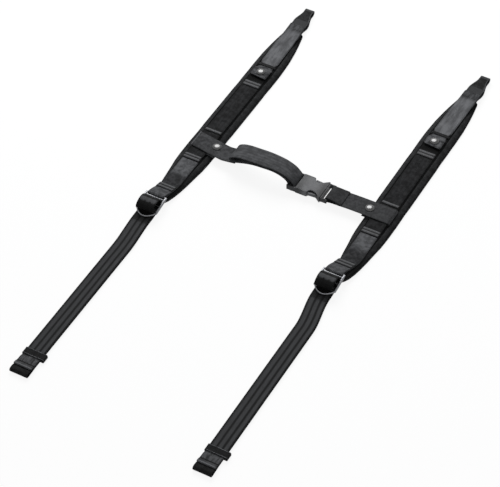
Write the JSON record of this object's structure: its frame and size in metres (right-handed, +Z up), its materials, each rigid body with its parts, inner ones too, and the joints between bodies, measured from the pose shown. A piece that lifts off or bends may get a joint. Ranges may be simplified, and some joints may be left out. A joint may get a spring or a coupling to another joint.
{
  "type": "padded shoulder strap pair",
  "caption": "Pair of padded instrument shoulder straps with ladder adjusters, snap flaps, end loops and a cross strap with side-release buckle.",
  "frame": {"origin": "on the floor under the middle of the pair's overall box", "axes": "+X across from the left strap to the right one, +Y along the straps to their upper loops, +Z up off the floor"},
  "size_m": [0.4106, 1.04, 0.0387],
  "materials": {
    "pad_fabric": "black woven padding cloth",
    "binding_tape": "black folded edge tape",
    "satin_band": "smooth black band",
    "sewn_rib": "dark stitched cord rib",
    "microfibre": "grey suede microfibre",
    "dark_microfibre": "dark grey microfibre",
    "grey_webbing": "grey woven webbing",
    "black_webbing": "black woven webbing, satin sheen",
    "strap_webbing": "dark grey webbing with two lighter lengthwise bands",
    "black_cap": "glossy black domed snap cap",
    "steel": "pressed steel snap parts",
    "frame_metal": "satin metal ladder frame",
    "grey_plastic": "mid grey moulded plastic"
  },
  "bodies": {
    "left_strap": {"left_shoulder_pad": "pad_fabric", "left_pad_binding": "binding_tape", "left_centre_band": "satin_band", "left_rib_a": "sewn_rib", "left_rib_b": "sewn_rib", "left_rib_c": "sewn_rib", "left_rib_d": "sewn_rib", "left_lower_panel": "microfibre", "left_top_loop": "black_webbing", "left_tongue": "microfibre", "left_tongue_keeper": "binding_tape", "left_flap_snap_stud": "steel", "left_adjuster_webbing": "grey_webbing", "left_return_tab": "microfibre", "left_return_snap_stud": "steel"},
    "left_flap_body": {"left_flap": "microfibre", "left_flap_snap_ring": "steel", "left_flap_snap_cap": "black_cap"},
    "left_lower": {"left_adjuster_frame": "frame_metal", "left_load_strap": "strap_webbing", "left_tail_strap": "strap_webbing", "left_end_loop": "black_webbing"},
    "left_keeper": {"left_keeper_loop": "binding_tape"},
    "cross_left": {"cross_tab_left": "microfibre", "cross_snap_ring_left": "steel", "cross_snap_cap_left": "black_cap", "cross_loop_left": "black_webbing", "buckle_socket": "grey_plastic"},
    "cross_right": {"buckle_plug": "grey_plastic", "cross_tab_right": "black_webbing", "cross_fold_right": "black_webbing", "cross_snap_ring_right": "steel", "cross_snap_cap_right": "black_cap"},
    "latch_front": {"latch_arm_front": "grey_plastic"},
    "latch_back": {"latch_arm_back": "grey_plastic"},
    "right_strap": {"right_shoulder_pad": "pad_fabric", "right_pad_binding": "binding_tape", "right_centre_band": "satin_band", "right_rib_a": "sewn_rib", "right_rib_b": "sewn_rib", "right_rib_c": "sewn_rib", "right_rib_d": "sewn_rib", "right_lower_panel": "microfibre", "right_top_loop": "black_webbing", "right_tongue": "microfibre", "right_tongue_keeper": "binding_tape", "right_flap_snap_stud": "steel", "right_adjuster_webbing": "grey_webbing", "right_return_tab": "dark_microfibre", "right_return_snap_stud": "steel"},
    "right_flap_body": {"right_flap": "microfibre", "right_flap_snap_ring": "steel", "right_flap_snap_cap": "black_cap"},
    "right_lower": {"right_adjuster_frame": "frame_metal", "right_load_strap": "strap_webbing", "right_tail_strap": "strap_webbing", "right_end_loop": "black_webbing"},
    "right_keeper": {"right_keeper_loop": "binding_tape"}
  },
  "joints": [
    {"name": "left_flap_lift", "type": "hinge", "parent": "left_strap", "child": "left_flap_body", "pos_m": [-0.176, 0.335, 0.0117], "axis": [-1, 0, 0], "range_deg": [0, 100]},
    {"name": "left_frame_tilt", "type": "hinge", "parent": "left_strap", "child": "left_lower", "pos_m": [-0.181, -0.047, 0.0165], "axis": [-1, 0, 0], "range_deg": [0, 90]},
    {"name": "left_keeper_slide", "type": "slide", "parent": "left_lower", "child": "left_keeper", "axis": [0, 1, 0], "range_m": [0, 0.25]},
    {"name": "left_tab_fold", "type": "hinge", "parent": "left_strap", "child": "cross_left", "pos_m": [-0.192, 0.1013, 0.014], "axis": [0, -1, 0], "range_deg": [0, 60]},
    {"name": "buckle_release", "type": "slide", "parent": "cross_left", "child": "cross_right", "axis": [1, 0, 0], "range_m": [0, 0.045]},
    {"name": "latch_front_press", "type": "hinge", "parent": "cross_right", "child": "latch_front", "pos_m": [0.0664, 0.0858, 0.011], "axis": [0, 0, -1], "range_deg": [0, 10]},
    {"name": "latch_back_press", "type": "hinge", "parent": "cross_right", "child": "latch_back", "pos_m": [0.0664, 0.1168, 0.011], "axis": [0, 0, 1], "range_deg": [0, 10]},
    {"name": "right_tab_fold", "type": "hinge", "parent": "cross_right", "child": "right_strap", "pos_m": [0.192, 0.1013, 0.014], "axis": [0, -1, 0], "range_deg": [0, 60]},
    {"name": "right_flap_lift", "type": "hinge", "parent": "right_strap", "child": "right_flap_body", "pos_m": [0.176, 0.321, 0.0117], "axis": [-1, 0, 0], "range_deg": [0, 100]},
    {"name": "right_frame_tilt", "type": "hinge", "parent": "right_strap", "child": "right_lower", "pos_m": [0.166, -0.061, 0.0165], "axis": [-1, 0, 0], "range_deg": [0, 90]},
    {"name": "right_keeper_slide", "type": "slide", "parent": "right_lower", "child": "right_keeper", "axis": [0, 1, 0], "range_m": [0, 0.25]}
  ],
  "couplings": [
    {"joint": "latch_front_press", "follows": "buckle_release", "rad_per_m": 3.878},
    {"joint": "latch_back_press", "follows": "buckle_release", "rad_per_m": 3.878}
  ]
}
